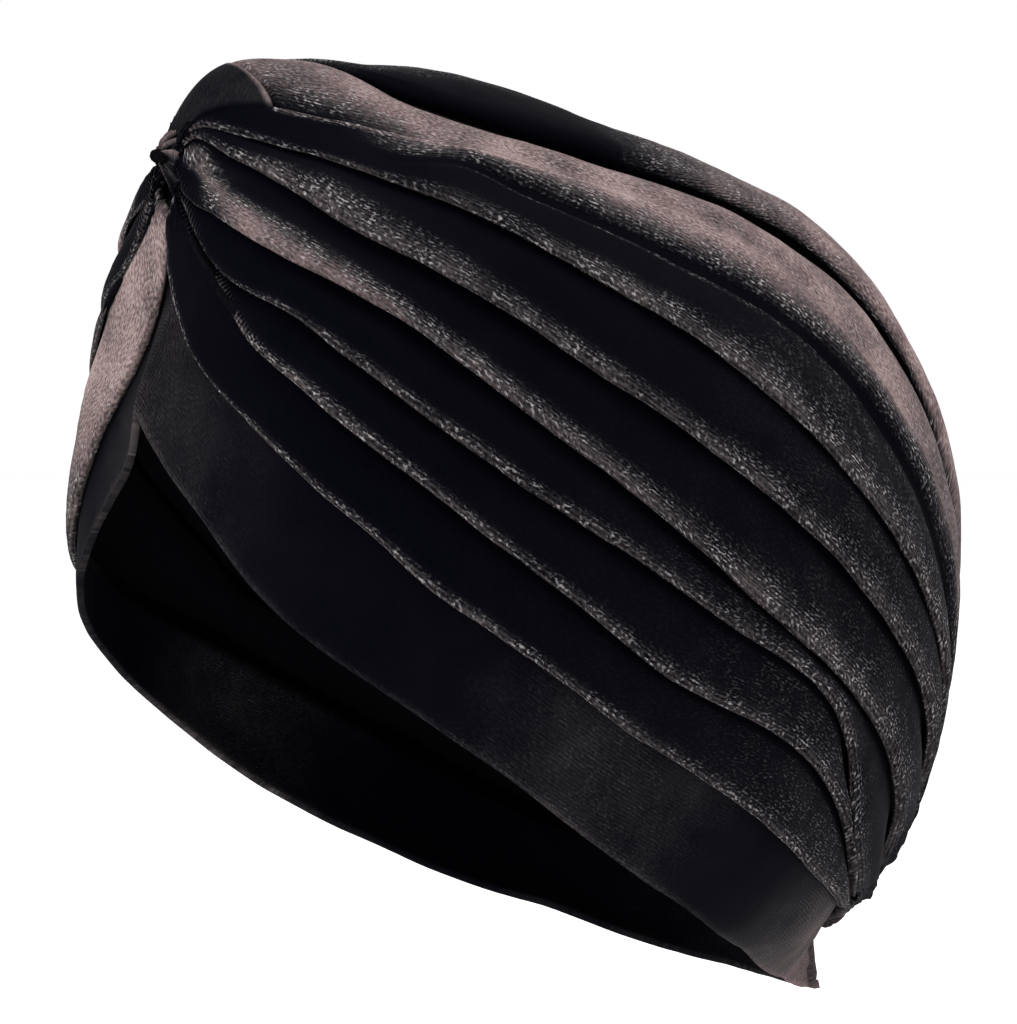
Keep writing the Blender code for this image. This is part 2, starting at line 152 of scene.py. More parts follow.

# how light the pile shows on each pleat, 0 to 1, as pile tone with painted sheen and painted
# highlights along the folds: body, lower edge and upper edge, and how far the lower edge's
# highlight reaches up the pleat in mm
PILE_STATIONS = (10, 20, 30, 42, 60, 85, 115, 145, 170)
PILE_AND_PAINTED_LIGHT = {
    "shelf": {"body": (.60, .62, .70, .74, .72, .74, .62, .38, .25),
              "edge": (.10, .08, .15, .72, .78, .80, .66, .38, .25),
              "upper": (0, 0, 0, 0, 0, 0, 0, 0, 0),
              "reach": (5.0, 6.0, 6.0, 2.0, 2.0, 2.0, 2.0, 2.0, 2.0)},
    "roll": {"body": (.03, .03, .10, .76, .84, .86, .74, .46, .22),
             "edge": (.03, .03, .05, .05, .03, .03, .05, .08, .12),
             "upper": (.50, .50, .45, .88, .94, .92, .84, .40, .10),
             "reach": (1.5, 1.5, 3.0, 5.0, 7.5, 8.0, 8.0, 6.0, 4.0)},
    "brow": {"body": (.03, .03, .04, .05, .05, .14, .16, .13, .12),
             "edge": (.28, .24, .15, .22, .38, .38, .32, .24, .20),
             "upper": (0, 0, 0, .12, .22, .20, .15, .10, .10),
             "reach": (1.5, 1.5, 1.5, 3.0, 4.0, 5.0, 5.0, 4.0, 3.0)},
    "temple": {"body": (.03, .03, .03, .03, .03, .11, .14, .12, .11),
               "edge": (.25, .36, .42, .40, .36, .36, .32, .26, .24),
               "upper": (0, 0, 0, 0, 0, 0, 0, 0, 0),
               "reach": (1.5, 3.0, 6.0, 6.0, 3.5, 3.0, 4.0, 4.0, 3.0)},
    "upper side": {"body": (.03, .03, .03, .03, .03, .10, .13, .12, .11),
                   "edge": (.46, .60, .68, .62, .46, .42, .34, .27, .24),
                   "upper": (0, 0, 0, 0, 0, 0, 0, 0, 0),
                   "reach": (2.6, 4.0, 5.5, 4.5, 3.5, 4.0, 5.0, 4.0, 3.0)},
    "middle side": {"body": (.02, .02, .02, .02, .04, .12, .13, .11, .11),
                    "edge": (.30, .30, .32, .36, .34, .34, .30, .25, .24),
                    "upper": (0, 0, 0, 0, 0, 0, 0, 0, 0),
                    "reach": (1.4, 1.5, 1.5, 1.8, 2.0, 2.0, 2.5, 3.0, 3.0)},
    "lower side": {"body": (.02, .02, .02, .02, .04, .10, .15, .16, .16),
                   "edge": (.02, .02, .35, .46, .38, .34, .30, .27, .26),
                   "upper": (0, 0, 0, 0, 0, 0, 0, 0, 0),
                   "reach": (1.2, 1.5, 2.0, 2.4, 2.0, 2.0, 3.0, 3.0, 3.0)},
    "hem": {"body": (.02, .02, .02, .02, .03, .09, .14, .20, .38),
            "edge": (.30, .35, .40, .42, .42, .36, .32, .36, .48),
            "upper": (0, 0, 0, 0, 0, 0, 0, 0, 0),
            "reach": (1.2, 1.5, 1.8, 1.8, 1.8, 1.8, 2.0, 3.0, 4.0)},
    "right hem": {"body": (.10, .74, .82, .80, .16, .06, .10, .20, .30),
                  "edge": (.30, .74, .80, .74, .40, .30, .35, .40, .45),
                  "upper": (0, 0, 0, 0, 0, 0, 0, 0, 0),
                  "reach": (1.2, 1.5, 1.8, 1.8, 1.8, 1.8, 2.0, 3.0, 4.0)},
}
PILE_AND_PAINTED_LIGHT["right lower side"] = PILE_AND_PAINTED_LIGHT["lower side"]
# the brown band of painted sheen on the pleat above the upper side fold lies higher near the knot, in mm
SHEEN_BAND_CENTRE = {"upper side": (11.5, 4.5, 1.0, 0, 0, 0, 0, 0, 0)}
UPPER_HIGHLIGHT_PLACE = 0.0004
UPPER_HIGHLIGHT_REACH = 0.0011
UNDER_FOLD_SHADE = (-0.0002, 0.0016)
TURNED_UNDER_SHADE = (0.0, 0.0009)
UPPER_HIGHLIGHT_START = (17.5, 20.5)
EDGE_HIGHLIGHT = 0.40
EDGE_HIGHLIGHT_REACH = 0.0009
SLIT_HIGHLIGHT = 0.50
SLIT_HIGHLIGHT_TURN = (135, 160)
# puff of the pleats between their folds, in mm, by station
PUFF = {
    "station": (0, 30, 90, 135, 155, 168, 180),
    "puff": (0.1, 0.4, 0.5, 0.9, 2.4, 3.4, 2.0),
}
# the most that the puff takes of the pleat's width, before the nape and added at the nape
PUFF_SHARE = 0.16
NAPE_PUFF_SHARE = 0.16
NAPE_PUFF = (135, 160)
VALLEY_PUFF_LOSS = 0.7
PUFF_POWER = 1.2
VALLEY_POWER = 3
SINK_POWER = 4

END_ROWS = 1.8
ROW_STATIONS = (34, 140)
ROW_COUNTS = (9, 54, 74, 48)
PLEAT_APART = 0.0313
SLIT_GATHERS = 0.4
SLIT_GATHERS_REACH = (0.002, 0.012)
NAPE_GATHERS = (138, 168)
NAPE_GLINT_FADE = 0.7
NAPE_GLINT_FADE_START = (130, 160)
NAPE_POLE = 179.9
NAPE_DRAW = 0.75
NAPE_WAY = (0.0, -0.70, 0.71)
PANEL_SIZES = {"Gather height": 0.0006, "Gather spacing": 0.0026,
               "Crumple height": 0.0016, "Crumple size": 0.022}


def follow(at, stations, values):
    """Smooth curve through the values given at the stations."""
    x = np.asarray(stations, float)
    y = np.asarray(values, float)
    at = np.clip(np.asarray(at, float), x[0], x[-1])
    step = np.diff(x)
    slope = np.diff(y) / step
    tangent = np.empty_like(y)
    tangent[1:-1] = (slope[1:] * step[:-1] + slope[:-1] * step[1:]) / (x[2:] - x[:-2])
    tangent[0] = slope[0]
    tangent[-1] = slope[-1]
    k = np.clip(np.searchsorted(x, at, side="right") - 1, 0, len(x) - 2)
    t = (at - x[k]) / step[k]
    return ((1 + 2 * t) * (1 - t) ** 2 * y[k] + t * (1 - t) ** 2 * step[k] * tangent[k]
            + t * t * (3 - 2 * t) * y[k + 1] + t * t * (t - 1) * step[k] * tangent[k + 1])


def ease(value, low, high):
    """0 below low, 1 above high, smooth between."""
    t = np.clip((np.asarray(value, float) - low) / (high - low), 0, 1)
    return t * t * (3 - 2 * t)


def axis_frame():
    """Knot pole, nape pole direction, upward direction and length, in the YZ plane."""
    knot = np.array([-KNOT_FORWARD, KNOT_HEIGHT])
    run = np.array([NAPE_BACK, -NAPE_DROP]) - knot
    length = np.hypot(*run)
    along = run / length
    return knot, along, np.array([-along[1], along[0]]), length


def brow(height, side, along):
    """Forward thrust of the cap over the forehead, above the knot."""
    share = height / CROWN_RISE
    rising = ease(share, BROW_FOOT, BROW_PEAK)
    falling = 1 - ease(share, BROW_PEAK, BROW_CREST)
    near_front = np.exp(-(side / BROW_BREADTH) ** 2 - (along / (BROW_FADE * CROWN_RISE)) ** 2)
    return BROW_THRUST * rising * falling * near_front


def shell(station, turn):
    """Points of the cap's outer form, before it is moved to the seat."""
    station, turn = np.broadcast_arrays(np.asarray(station, float), np.asarray(turn, float))
    knot, forward, upward, length = axis_frame()
    angle = np.radians(station)
    sine = np.sin(np.radians(turn))
    cosine = np.cos(np.radians(turn))
    power = np.where(cosine > 0, UPPER_POWER, UNDER_POWER)
    reach = (np.abs(sine) ** power + np.abs(cosine) ** power) ** (-1 / power)
    rise = CROWN_RISE * follow(station, SECTIONS["station"], SECTIONS["rise"])
    under = UNDER_DEPTH * follow(station, SECTIONS["station"], SECTIONS["under"])
    width = HALF_WIDTH * follow(station, SECTIONS["station"], SECTIONS["width"])
    height = np.where(cosine > 0, rise, under) * np.sin(angle) * reach * cosine
    side = width * np.sin(angle) * reach * sine
    along = length / 2 * (1 - np.cos(angle))
    along = along - brow(height, side, along)
    y = knot[0] + along * forward[0] + height * upward[0]
    z = knot[1] + along * forward[1] + height * upward[1]
    return np.stack([side, y, z], -1)


def outward(station, turn):
    """Unit normals of the form, pointing out."""
    small = 0.4
    across = shell(station, turn + small) - shell(station, turn - small)
    lengthwise = shell(station + small, turn) - shell(station - small, turn)
    normal = np.cross(across, lengthwise)
    return normal / np.linalg.norm(normal, axis=-1, keepdims=True)


SEAT = shell(SEAT_STATION, 0.0) - outward(SEAT_STATION, 0.0) * SEAT_DEPTH


def lifted(station, turn, lift):
    """Points on the cap in the row frame, moved out along the normal by lift."""
    return shell(station, turn) + outward(station, turn) * np.asarray(lift)[..., None] - SEAT


def slide(station, turn, distance):
    """Turn that lies a distance in metres further round the section."""
    small = 0.5
    ahead = shell(station, turn + small) - shell(station, turn - small)
    return turn + distance * 2 * small / np.linalg.norm(ahead, axis=-1)


def slit_shift(turn):
    """Stations by which the front slit starts later, as it runs down from its top."""
    return (SLIT_FOOT - SLIT_TOP) * (np.abs(turn) / 180) ** SLIT_CURVE


def warped(row, turn):
    """Station of a row at a turn: rows follow the slit, and then the end of the front wrap."""
    fade = np.clip((SLIT_FADE - row) / (SLIT_FADE - SLIT_TOP), 0, 1)
    rising = (row - SLIT_TOP) / (WRAP_END - SLIT_TOP)
    falling = (SLIT_FADE - row) / (SLIT_FADE - WRAP_END)
    swept = np.clip(np.minimum(rising, falling), 0, 1)
    return row + slit_shift(turn) * fade + WRAP_SWEEP * ease(np.abs(turn), 0, WRAP_CORNER) * swept


def fold_turn(name, station):
    """Turn of a fold's lower edge."""
    return np.clip(follow(station, FOLD_STATIONS, FOLDS[name]["turns"]), 0, 180)


def fold_at_row(name, row):
    """Turn of a fold's edge on a warped row, and the station there."""
    turn = fold_turn(name, row)
    for _ in range(6):
        turn = fold_turn(name, warped(row, turn))
    return turn, warped(row, turn)


def risen(name, station):
    """0 where a fold hasn't begun yet and lies flat, 1 where it is fully raised."""
    start = FOLDS[name]["start"]
    if not start:
        return np.ones_like(station)
    return ease(station, start - RISE_LENGTH, start + RISE_LENGTH)


def fold_lift(name, station):
    """Height of a fold's edge over the pleat below it."""
    full = ease(station, *FRONT_GATHER) * (1 - ease(station, *NAPE_GATHER))
    drawn_in = LEAST_LIFT + (1 - LEAST_LIFT) * full
    return FOLD_LIFT * FOLDS[name]["lift"] * risen(name, station) * drawn_in


def run_length(points, axis):
    """Length along a grid of points from its first row (axis 0) or its first column (axis 1)."""
    steps = np.linalg.norm(np.diff(points, axis=axis), axis=-1)
    start = np.zeros_like(np.take(steps, [0], axis=axis))
    return np.concatenate([start, np.cumsum(steps, axis=axis)], axis=axis)


def pleat_strip(rows, upper, lower):
    """Columns of one pleat, from its tuck under the fold above to the tuck under its own edge.

    Gives the turn, station, lift, distance above the lower edge, lightness of the pile with its
    painted sheen, highlights and shade, distance from the slit and how strongly the cloth is drawn
    together across its edge.
    """
    top_turn, top_station = fold_at_row(upper, rows)
    low_turn, low_station = fold_at_row(lower, rows)
    steps = np.linspace(0, 1, 9)[None, :]
    ladder = top_turn[:, None] + (low_turn - top_turn)[:, None] * steps
    rungs = shell(warped(rows[:, None], ladder), ladder)
    width = np.linalg.norm(np.diff(rungs, axis=1), axis=-1).sum(1)
    above = fold_lift(upper, top_station)
    below = fold_lift(lower, low_station)
    rounding = FOLDS[lower]["rounding"] * 0.001
    raised = risen(lower, low_station) * (rounding > 0)
    raised_above = risen(upper, top_station) * (FOLDS[upper]["rounding"] > 0)
    broad = np.minimum(rounding * raised + FLAT_BROAD * (1 - raised), BROAD_SHARE * width)
    thick = np.minimum(rounding, THICK_SHARE * below)
    tuck = np.minimum(PLEAT_TUCK, TUCK_SHARE * width)
    turned = slide(low_station, low_turn, -broad)
    valley = below * (rounding == 0)
    sink = SHELF_SINK * (1 - ease(low_station, *SHELF_SINK_END)) * (lower == "shelf")
    step = SHELF_SINK * (1 - ease(top_station, *SHELF_SINK_END)) * (upper == "shelf")
    columns = []

    def column(turn, lift, distance):
        columns.append((turn, lift, distance))

    hidden = slide(top_station, top_turn, -tuck * raised_above - TUCK_CLEARANCE / 10)
    column(np.maximum(hidden, 0), -above - step - TUCK_CLEARANCE * raised_above, width + tuck)
    puff = 0.001 * follow(low_station, PUFF["station"], PUFF["puff"])
    puff_share = PUFF_SHARE + NAPE_PUFF_SHARE * ease(low_station, *NAPE_PUFF)
    puff = np.minimum(puff, puff_share * width)
    puff = puff * np.minimum(raised, 1 - VALLEY_PUFF_LOSS * (1 - raised_above))
    for share in PLEAT_SHARES:
        lift = -above * (1 - share) ** PLEAT_CURVE + puff * np.sin(np.pi * share) ** PUFF_POWER
        lift = lift - valley * share ** VALLEY_POWER - sink * share ** SINK_POWER
        lift = lift - step * (share == 0)
        column(top_turn + (turned - top_turn) * share, lift, broad + (width - broad) * (1 - share))
    for number, degrees in enumerate(FOLD_ANGLES, 1):
        angle = np.radians(degrees)
        out = raised * broad * np.sin(angle) + (1 - raised) * broad * number / FLAT_STEPS
        drop = thick * (1 - np.cos(angle)) * raised + valley + sink
        column(slide(low_station, turned, out), -drop, broad * (1 - degrees / 90))
    end = slide(low_station, turned, -tuck * raised + (1 - raised) * FLAT_END * broad)
    column(end, -(2 * thick + TUCK_CLEARANCE / 2) * raised - valley - sink, -broad - tuck)

    turn, lift, distance = (
        np.array([np.broadcast_to(values, rows.shape) for values in part]).T for part in zip(*columns))
    station = warped(rows[:, None], turn)
    from_slit = run_length(shell(station, turn), 0)
    short = np.clip(1 - from_slit / END_ROLL, 0, 1)
    lift = lift - END_ROLL * (1 - np.sqrt(1 - short ** 2)) * END_ROLL_DEPTH
    if lower == COVERED_FOLD:
        under_wrap = station < warped(WRAP_END + UNDER_WRAP_REACH, turn)
        lift = np.where(under_wrap, UNDER_WRAP_LIFT * lift - UNDER_WRAP_SINK, lift)
    pile = {name: follow(station, PILE_STATIONS, values) for name, values in PILE_AND_PAINTED_LIGHT[lower].items()}
    reach = 0.001 * pile["reach"]
    centres = SHEEN_BAND_CENTRE.get(lower, (0,) * len(PILE_STATIONS))
    centre = 0.001 * follow(station, PILE_STATIONS, centres)
    off_centre = np.abs(np.maximum(distance, 0) - centre)
    light = pile["body"] + (pile["edge"] - pile["body"]) * np.exp(-(off_centre / reach) ** 2)
    # painted highlight along the rounded lower edge of each raised fold
    edge_highlight = EDGE_HIGHLIGHT * raised[:, None] * np.exp(-(np.maximum(distance, 0) / EDGE_HIGHLIGHT_REACH) ** 2)
    light = np.maximum(light, edge_highlight)
    from_top = width[:, None] - distance
    light = light * (1 - raised_above[:, None] * (1 - ease(from_top, *UNDER_FOLD_SHADE)))
    # painted highlight just under the fold above, along the pleat's upper edge
    upper_highlight = pile["upper"] * ease(station, *UPPER_HIGHLIGHT_START)
    light = np.maximum(light, upper_highlight * np.exp(-((from_top - UPPER_HIGHLIGHT_PLACE) / UPPER_HIGHLIGHT_REACH) ** 2))
    # painted highlight along the rolled end at the slit, on the turns towards the underside
    off_highlight = (from_slit - END_ROLL / 2) / EDGE_HIGHLIGHT_REACH
    slit_highlight = SLIT_HIGHLIGHT * ease(turn, *SLIT_HIGHLIGHT_TURN)
    light = np.maximum(light, slit_highlight * np.exp(-off_highlight ** 2))
    # painted shade on the part of each fold's edge that turns under
    light = light * (1 - raised[:, None] * ease(-distance, *TURNED_UNDER_SHADE))
    drawn_end = DRAWN_END.get(lower, 0)
    drawn = 1 - ease(station, drawn_end - DRAWN_BEFORE, drawn_end + DRAWN_AFTER)
    drawn = drawn * (1 - ease(distance, *DRAWN_REACH))
    return turn, station, lift, distance, light, from_slit, drawn


def cloth_mesh(name, points, across, light, gather, drawn=0.0, glitter=1.0, closed=False):
    """Mesh of a grid of points, with the cloth's own lengths as UV map and its pile tone, painted sheen,
    highlights and shade painted in.

    The UV map runs along the rows and then across them, in metres. Light says how light the
    pile shows, with painted sheen, painted highlights and painted shade in it, gather how strongly
    the cloth is gathered along its length, drawn how strongly it is drawn together across it, and
    glitter how much painted glints show, all from 0 to 1.
    """
    rows, columns = points.shape[:2]
    along = run_length(points, 0)
    index = np.arange(rows * columns).reshape(rows, columns)
    last = rows if closed else rows - 1
    faces = []
    for i in range(last):
        after = (i + 1) % rows
        for j in range(columns - 1):
            faces.append((index[i, j], index[i, j + 1], index[after, j + 1], index[after, j]))
    mesh = bpy.data.meshes.new(name)
    mesh.from_pydata(points.reshape(-1, 3).tolist(), [], [tuple(map(int, f)) for f in faces])
    # the pile lightness attribute holds the pile's tone together with painted sheen, painted highlights
    # and painted shade
    for label, values in (("pile_tone_and_painted_light", light), ("gather", gather), ("across", across),
                          ("drawn", drawn), ("glitter", glitter)):
        attribute = mesh.attributes.new(label, "FLOAT", "POINT")
        everywhere = np.broadcast_to(values, (rows, columns)).ravel()
        attribute.data.foreach_set("value", everywhere.astype(np.float32))
    uv = mesh.uv_layers.new(name="cloth")
    corner = np.zeros(len(mesh.loops), int)
    mesh.loops.foreach_get("vertex_index", corner)
    flat = np.stack([along.ravel()[corner], np.broadcast_to(across, (rows, columns)).ravel()[corner]], -1)
    uv.data.foreach_set("uv", flat.astype(np.float32).ravel())
    mesh.shade_smooth()
    mesh.validate()
    return mesh


RIB = 0.0008
RIB_WAVER = 0.0012
RIB_SWING = 0.15
DRAW = 0.0011
DRAW_WAVER = 0.0010
DRAW_SHADING_SWING = 0.42
CRUSH_SCALE = 95.0
CRUSH_SWING = 0.95
NUB_STRETCH = (900.0, 1900.0, 1.0)
NUB_SWING = 1.7
FEW_GLINT_NUB_SWING = 0.5
GLINT_STRETCH = (950.0, 2000.0, 1.0)
GLINT_CLUSTERS = 230.0
GLINT_STRENGTH = 0.72
PILE_HEIGHT = 0.00012
PILE_AND_SHEEN_COLOURS = (
    # lightness of the pile with its painted sheen and shade, red, green, blue
    (0.00, 0.0008, 0.0009, 0.0024),
    (0.12, 0.0024, 0.0024, 0.0042),
    (0.25, 0.0098, 0.0094, 0.0112),
    (0.45, 0.0420, 0.0365, 0.0375),
    (0.65, 0.0980, 0.0720, 0.0735),
    (0.85, 0.1820, 0.1340, 0.1320),
    (1.00, 0.2800, 0.2120, 0.2050),
)
PAINTED_GLINT_COLOUR = (0.46, 0.44, 0.45, 1)


def velvet(name):
    """Black stretch velvet: a blue-black pile whose colour turns brown-grey where it lies towards the
    light, a painted sheen, fine knit ribs along the cloth, and small painted glints where the pile
    stands between."""
    material = bpy.data.materials.new(name)
    material.use_nodes = True
    nodes = material.node_tree.nodes
    links = material.node_tree.links
    shader = nodes["Principled BSDF"]
    shader.inputs["Metallic"].default_value = 0.0
    shader.inputs["Specular IOR Level"].default_value = 0.008
    shader.inputs["Sheen Weight"].default_value = 0.012
    shader.inputs["Sheen Roughness"].default_value = 0.30
    shader.inputs["Sheen Tint"].default_value = (0.80, 0.72, 0.74, 1)

    def node(kind, **settings):
        made = nodes.new(kind)
        for key, value in settings.items():
            setattr(made, key, value)
        return made

    def math(operation, first, second=None):
        made = node("ShaderNodeMath", operation=operation)
        for slot, value in enumerate((first, second)):
            if value is None:
                continue
            if isinstance(value, (int, float)):
                made.inputs[slot].default_value = value
            else:
                links.new(value, made.inputs[slot])
        return made.outputs[0]

    def spread(value, low, high, to_low=0.0, to_high=1.0):
        made = node("ShaderNodeMapRange")
        made.inputs["From Min"].default_value = low
        made.inputs["From Max"].default_value = high
        made.inputs["To Min"].default_value = to_low
        made.inputs["To Max"].default_value = to_high
        links.new(value, made.inputs["Value"])
        return made.outputs["Result"]

    def noise(vector, scale, detail, stretch=None):
        if stretch:
            mapping = node("ShaderNodeMapping")
            mapping.inputs["Scale"].default_value = stretch
            links.new(vector, mapping.inputs["Vector"])
            vector = mapping.outputs["Vector"]
        made = node("ShaderNodeTexNoise")
        made.inputs["Scale"].default_value = scale
        made.inputs["Detail"].default_value = detail
        links.new(vector, made.inputs["Vector"])
        return made.outputs["Fac"]

    def wave(value, length):
        turned = math("COSINE", math("MULTIPLY", value, 2 * np.pi / length))
        return math("ADD", math("MULTIPLY", turned, 0.5), 0.5)

    place = node("ShaderNodeTexCoord").outputs["Object"]
    cloth = node("ShaderNodeUVMap", uv_map="cloth").outputs["UV"]
    # the pile's lightness, with its painted sheen, highlights and shade, read from the mesh
    lightness = node("ShaderNodeAttribute", attribute_name="pile_tone_and_painted_light").outputs["Fac"]
    drawn = node("ShaderNodeAttribute", attribute_name="drawn").outputs["Fac"]
    split = node("ShaderNodeSeparateXYZ")
    links.new(cloth, split.inputs["Vector"])

    glitter = node("ShaderNodeAttribute", attribute_name="glitter").outputs["Fac"]
    crushed = noise(place, CRUSH_SCALE, 4.0)
    clustered = noise(place, GLINT_CLUSTERS, 2.0)
    nubbed = noise(cloth, 1.0, 2.0, NUB_STRETCH)
    dashes = noise(cloth, 1.0, 1.0, GLINT_STRETCH)
    rib_place = math("ADD", split.outputs["Y"], math("MULTIPLY", crushed, RIB_WAVER))
    draw_place = math("ADD", split.outputs["X"], math("MULTIPLY", crushed, DRAW_WAVER))
    rib = wave(rib_place, RIB)
    draw = wave(draw_place, DRAW)

    # the ribs show where the pile's painted lightness is neither dark nor light, and where it has painted
    # glints
    between = math("MULTIPLY", spread(lightness, 0.10, 0.24), spread(lightness, 0.70, 0.45))
    between = math("MULTIPLY", between, spread(glitter, 0.0, 0.25, 0.1, 1.0))
    crush_swing = math("MULTIPLY", math("SUBTRACT", crushed, 0.5), CRUSH_SWING)
    nub_strength = spread(glitter, 0.0, 0.25, FEW_GLINT_NUB_SWING, NUB_SWING)
    nub_swing = math("MULTIPLY", math("SUBTRACT", nubbed, 0.5), nub_strength)
    swing = math("ADD", crush_swing, nub_swing)
    shown = math("ADD", lightness, math("MULTIPLY", swing, math("ADD", lightness, 0.05)))
    rib_swing = math("MULTIPLY", math("SUBTRACT", rib, 0.5), math("MULTIPLY", between, RIB_SWING))
    shown = math("ADD", shown, rib_swing)
    # painted light and shade on the small gathers drawn across the fold edges, matching their bump
    gathers = math("MULTIPLY", math("SUBTRACT", math("POWER", draw, 2.0), 0.35), drawn)
    shown = math("ADD", shown, math("MULTIPLY", gathers, DRAW_SHADING_SWING))
    ramp = node("ShaderNodeValToRGB")
    stops = ramp.color_ramp.elements
    while len(stops) < len(PILE_AND_SHEEN_COLOURS):
        stops.new(0.5)
    for stop, (position, red, green, blue) in zip(stops, PILE_AND_SHEEN_COLOURS):
        stop.position = position
        stop.color = (red, green, blue, 1)
    links.new(shown, ramp.inputs["Fac"])

    # painted glints: small light dashes mixed into the base colour
    glint = math("MULTIPLY", spread(dashes, 0.54, 0.68), spread(clustered, 0.38, 0.60, 0.10, 1.0))
    not_dark = spread(lightness, 0.11, 0.30)
    not_light = spread(lightness, 1.0, 0.50, 0.22, 1.0)
    strength = math("MULTIPLY", math("MULTIPLY", not_dark, not_light), glitter)
    ribbed = math("ADD", math("MULTIPLY", rib, 0.5), 0.5)
    ribbed = math("MULTIPLY", ribbed, GLINT_STRENGTH)
    glint = math("MULTIPLY", math("MULTIPLY", glint, strength), ribbed)
    mix = node("ShaderNodeMix", data_type="RGBA")
    mix.inputs["B"].default_value = PAINTED_GLINT_COLOUR
    links.new(glint, mix.inputs["Factor"])
    links.new(ramp.outputs["Color"], mix.inputs["A"])
    links.new(mix.outputs["Result"], shader.inputs["Base Color"])
    links.new(spread(nubbed, 0.0, 1.0, 0.55, 0.85), shader.inputs["Roughness"])

    pile = node("ShaderNodeBump")
    pile.inputs["Strength"].default_value = 0.6
    pile.inputs["Distance"].default_value = PILE_HEIGHT
    height = math("ADD", math("MULTIPLY", rib, between), math("MULTIPLY", nubbed, 1.5))
    gathered_height = math("MULTIPLY", math("MULTIPLY", draw, drawn), 3.0)
    links.new(math("ADD", height, gathered_height), pile.inputs["Height"])
    links.new(pile.outputs["Normal"], shader.inputs["Normal"])
    return material


def plain_back(name):
    """Matte black knit on the cloth's inner side."""
    material = bpy.data.materials.new(name)
    material.use_nodes = True
    nodes = material.node_tree.nodes
    links = material.node_tree.links
    shader = nodes["Principled BSDF"]
    shader.inputs["Roughness"].default_value = 0.95
    shader.inputs["Specular IOR Level"].default_value = 0.01
    knit = nodes.new("ShaderNodeTexNoise")
    knit.inputs["Scale"].default_value = 900.0
    links.new(nodes.new("ShaderNodeTexCoord").outputs["Object"], knit.inputs["Vector"])
    ramp = nodes.new("ShaderNodeValToRGB")
    ramp.color_ramp.elements[0].color = (0.0012, 0.0012, 0.0022, 1)
    ramp.color_ramp.elements[1].color = (0.0042, 0.0040, 0.0052, 1)
    links.new(knit.outputs["Fac"], ramp.inputs["Fac"])
    links.new(ramp.outputs["Color"], shader.inputs["Base Color"])
    return material


def gathered(name, mesh, sizes, wall, doubled=False):
    """The cloth with its gathers and crumples raised by Geometry Nodes, as a plain mesh.

    Doubled cloth shows its pile on both sides.
    """
    tree = bpy.data.node_groups.get("gathers") or gather_tree()
    mesh.materials.append(velvet_black)
    mesh.materials.append(inner_black)
    source = bpy.data.objects.new(name, mesh)
    bpy.context.scene.collection.objects.link(source)
    modifier = source.modifiers.new("gathers", "NODES")
    modifier.node_group = tree
    wanted = dict(sizes)
    wanted["Velvet"] = velvet_black
    for item in tree.interface.items_tree:
        if item.item_type == "SOCKET" and item.in_out == "INPUT" and item.name in wanted:
            modifier[item.identifier] = wanted[item.name]
    thickness = source.modifiers.new("wall", "SOLIDIFY")
    thickness.thickness = wall
    thickness.offset = -1.0
    thickness.material_offset = 0 if doubled else 1
    graph = bpy.context.evaluated_depsgraph_get()
    plain = bpy.data.meshes.new_from_object(source.evaluated_get(graph), depsgraph=graph)
    source.modifiers.clear()
    source.data = plain
    plain.name = name
    bpy.data.meshes.remove(mesh)
    return source


def gather_tree():
    """Raises a mesh along its normals in gathers that follow the cloth's length."""
    tree = bpy.data.node_groups.new("gathers", "GeometryNodeTree")
    side = tree.interface
    side.new_socket("Geometry", in_out="INPUT", socket_type="NodeSocketGeometry")
    for label in ("Gather height", "Gather spacing", "Crumple height", "Crumple size"):
        side.new_socket(label, in_out="INPUT", socket_type="NodeSocketFloat")
    side.new_socket("Velvet", in_out="INPUT", socket_type="NodeSocketMaterial")
    side.new_socket("Geometry", in_out="OUTPUT", socket_type="NodeSocketGeometry")
    nodes = tree.nodes
    links = tree.links
    entry = nodes.new("NodeGroupInput").outputs

    def math(operation, *values):
        made = nodes.new("ShaderNodeMath")
        made.operation = operation
        for slot, value in enumerate(values):
            if isinstance(value, (int, float)):
                made.inputs[slot].default_value = value
            else:
                links.new(value, made.inputs[slot])
        return made.outputs[0]

    def stored(label):
        made = nodes.new("GeometryNodeInputNamedAttribute")
        made.data_type = "FLOAT"
        made.inputs["Name"].default_value = label
        return made.outputs["Attribute"]

    waver = nodes.new("ShaderNodeTexNoise")
    waver.inputs["Scale"].default_value = 90.0
    waver.inputs["Detail"].default_value = 1.0
    crumple = nodes.new("ShaderNodeTexNoise")
    crumple.inputs["Detail"].default_value = 2.0
    links.new(math("DIVIDE", 1.0, entry["Crumple size"]), crumple.inputs["Scale"])
    phase = math("DIVIDE", stored("across"), entry["Gather spacing"])
    phase = math("ADD", phase, math("MULTIPLY", waver.outputs["Fac"], 2.5))
    wave = math("COSINE", math("MULTIPLY", phase, 2 * np.pi))
    strength = math("MULTIPLY", stored("gather"), entry["Gather height"])
    raised = math("MULTIPLY", wave, strength)
    soft = math("MULTIPLY", math("SUBTRACT", crumple.outputs["Fac"], 0.5), entry["Crumple height"])
    height = math("ADD", raised, soft)
    direction = nodes.new("ShaderNodeVectorMath")
    direction.operation = "SCALE"
    links.new(nodes.new("GeometryNodeInputNormal").outputs["Normal"], direction.inputs["Vector"])
    links.new(height, direction.inputs["Scale"])
    move = nodes.new("GeometryNodeSetPosition")
    links.new(entry["Geometry"], move.inputs["Geometry"])
    links.new(direction.outputs["Vector"], move.inputs["Offset"])
    real = nodes.new("GeometryNodeRealizeInstances")
    links.new(move.outputs["Geometry"], real.inputs["Geometry"])
    cover = nodes.new("GeometryNodeSetMaterial")
    links.new(real.outputs["Geometry"], cover.inputs["Geometry"])
    links.new(entry["Velvet"], cover.inputs["Material"])
    links.new(cover.outputs["Geometry"], nodes.new("NodeGroupOutput").inputs["Geometry"])
    return tree


